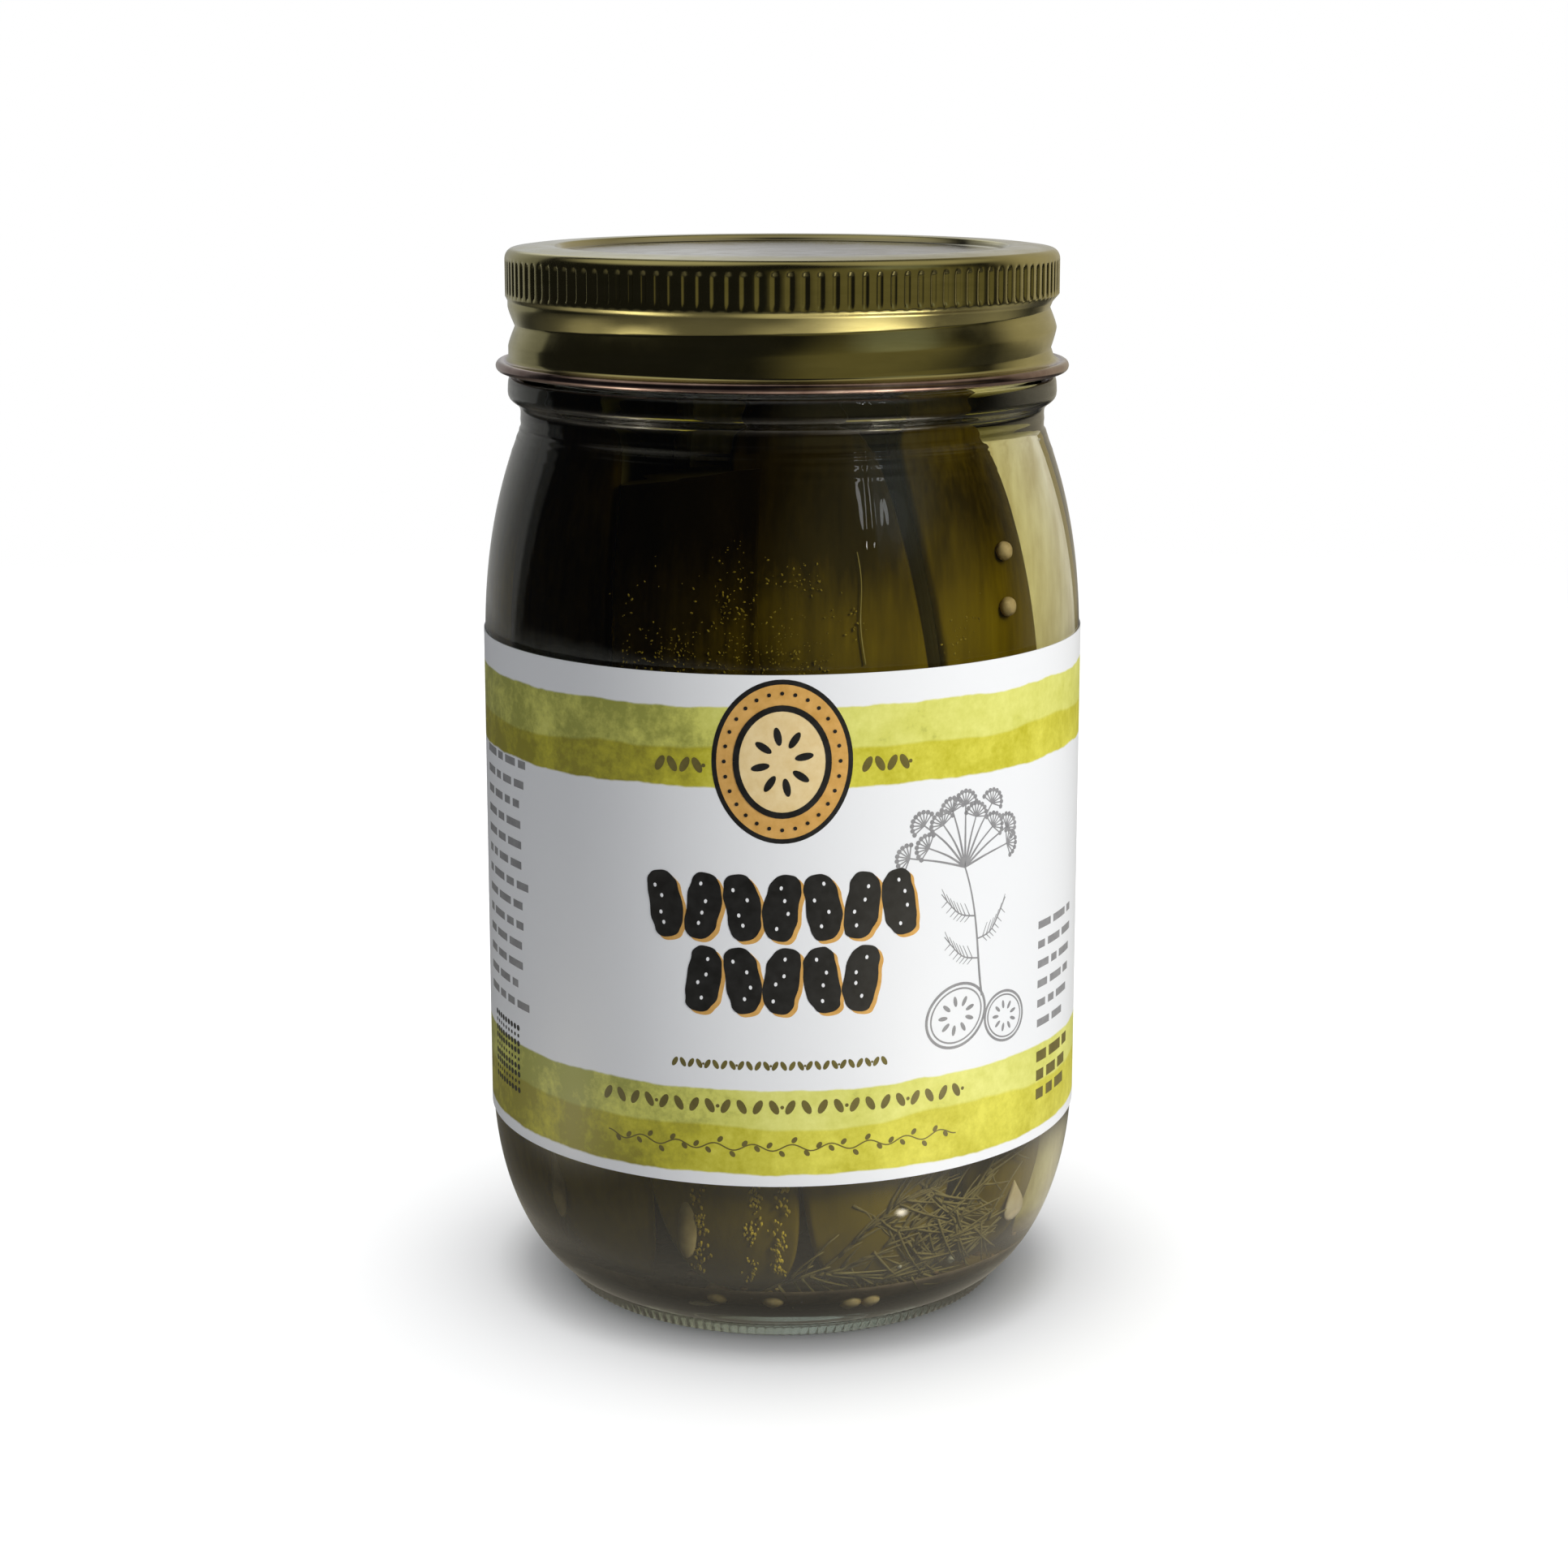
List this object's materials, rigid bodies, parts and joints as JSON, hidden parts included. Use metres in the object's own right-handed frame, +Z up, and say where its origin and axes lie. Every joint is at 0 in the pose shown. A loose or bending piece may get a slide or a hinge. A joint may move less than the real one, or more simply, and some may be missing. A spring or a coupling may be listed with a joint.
{
  "type": "pickle jar",
  "caption": "Round glass jar of gherkins in brine, with a gold metal screw lid, a rolled thread and a wrap-round paper label.",
  "frame": {"origin": "centre of the foot ring, on the surface that the jar stands on", "axes": "+Z up along the jar's axis, -Y out of the middle of the label's front, +X to the right as seen from the front"},
  "size_m": [0.0788, 0.0787, 0.1372],
  "materials": {
    "glass": "clear pressed glass, glossy",
    "gold_lacquer": "gold lacquer over tinplate, satin metallic",
    "label_paper": "coated white paper, satin",
    "pickle": "wet olive-green gherkin skin"
  },
  "bodies": {
    "root": {"glass_jar": "glass", "lid": "gold_lacquer", "label": "label_paper", "pickles": "pickle"}
  },
  "joints": []
}
